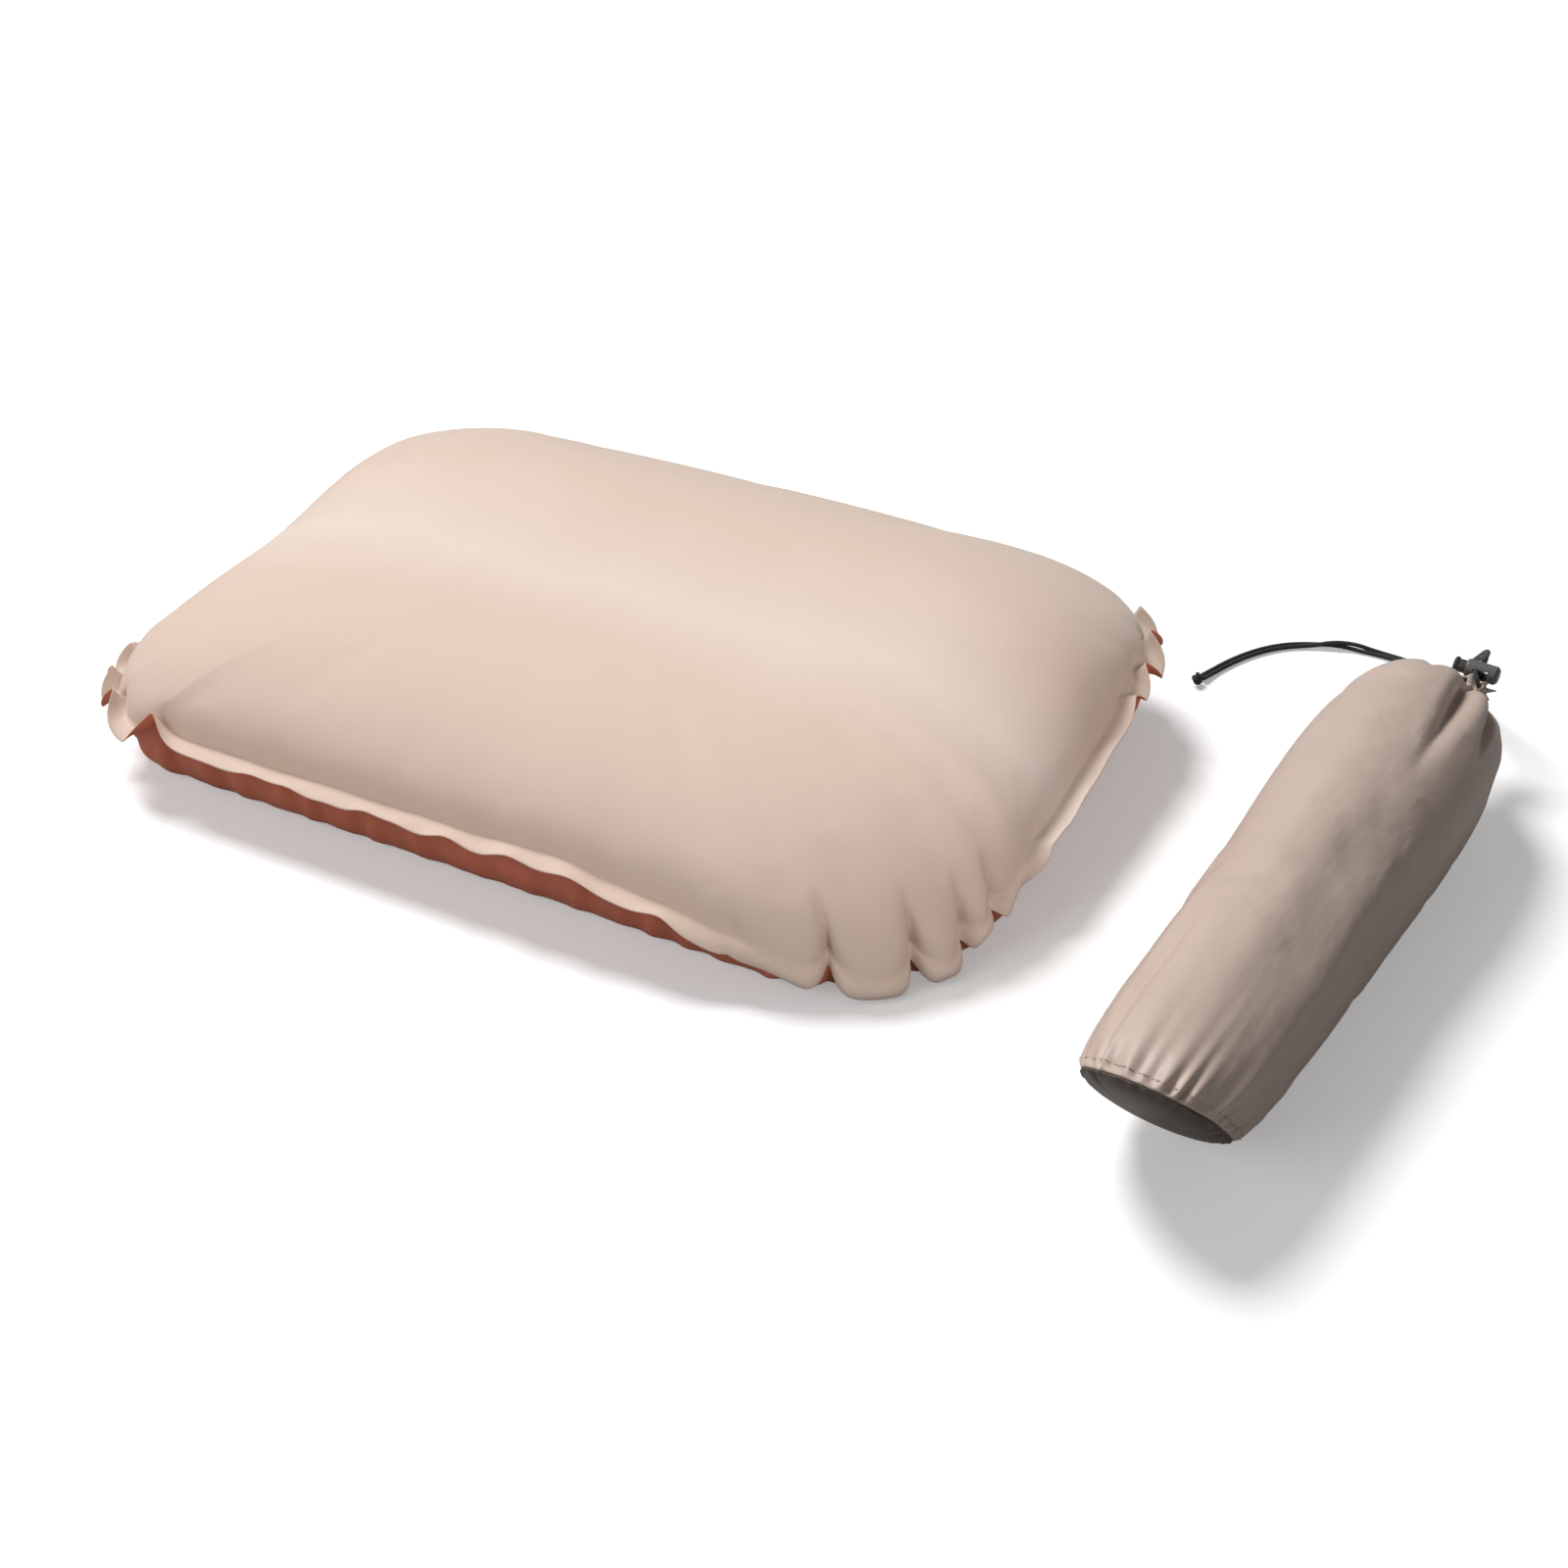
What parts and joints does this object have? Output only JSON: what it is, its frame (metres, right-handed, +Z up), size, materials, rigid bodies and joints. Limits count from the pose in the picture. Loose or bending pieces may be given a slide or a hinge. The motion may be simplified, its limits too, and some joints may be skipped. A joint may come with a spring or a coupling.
{
  "type": "camp pillow",
  "caption": "Self-inflating two-lobed foam pillow with a welded film cover and twist valve, beside its filled drawstring stuff sack with a spring cord lock.",
  "frame": {"origin": "centre of the pillow's flat base, on the surface it lies on", "axes": "+Z up, X along the pillow's length, +Y towards the tall back lobe; the stuff sack lies on the +X side"},
  "size_m": [0.6283, 0.4198, 0.0993],
  "materials": {
    "beige_knit": "fine brushed knit, laminated, matte",
    "rust_weave": "plain weave, coated inside, low sheen",
    "foam": "open-cell foam",
    "valve_plastic": "moulded, fine texture",
    "strainer_plastic": "moulded",
    "plunger_plastic": "moulded",
    "seal_rubber": "moulded ring",
    "taupe_satin": "light satin-faced woven cloth",
    "dark_taupe": "woven cloth, darker",
    "charcoal_cord": "braided cord",
    "lock_plastic": "moulded, slight gloss",
    "spring_steel": "drawn wire"
  },
  "bodies": {
    "pillow": {"top_shell": "beige_knit", "bottom_shell": "rust_weave", "foam_core": "foam", "valve_stem": "valve_plastic", "valve_strainer": "strainer_plastic"},
    "valve_plug": {"valve_plunger": "plunger_plastic", "valve_o_ring": "seal_rubber", "valve_retainer": "plunger_plastic"},
    "valve_knob": {"valve_cap": "valve_plastic"},
    "sack": {"sack_body": "taupe_satin", "sack_base": "dark_taupe", "sack_hem": "taupe_satin", "packed_roll": "beige_knit", "drawcord_loop": "charcoal_cord", "drawcord_tail_a": "charcoal_cord", "drawcord_tail_b": "charcoal_cord", "drawcord_knot": "charcoal_cord"},
    "cord_lock": {"lock_barrel": "lock_plastic", "lock_spring": "spring_steel"},
    "button": {"lock_button": "valve_plastic"}
  },
  "joints": [
    {"name": "valve_travel", "type": "slide", "parent": "pillow", "child": "valve_plug", "axis": [0, 1, 0], "range_m": [0, 0.0031]},
    {"name": "valve_turn", "type": "hinge", "parent": "valve_plug", "child": "valve_knob", "pos_m": [-0.16, 0.165, 0.034], "axis": [0, 1, 0], "range_deg": [0, 270]},
    {"name": "sack_lift", "type": "slide", "parent": "pillow", "child": "sack", "axis": [0, 0, 1], "range_m": [0, 0.25]},
    {"name": "lock_slide", "type": "slide", "parent": "sack", "child": "cord_lock", "axis": [0.1028, 0.9947, 0], "range_m": [0, 0.006]},
    {"name": "button_press", "type": "slide", "parent": "cord_lock", "child": "button", "axis": [0.9947, -0.1028, 0], "range_m": [0, 0.004], "stiffness_N_per_m": 400, "springref_m": -0.004, "deforming": ["lock_spring"]}
  ],
  "couplings": [
    {"joint": "valve_travel", "follows": "valve_turn", "m_per_rad": 0.00063662}
  ]
}
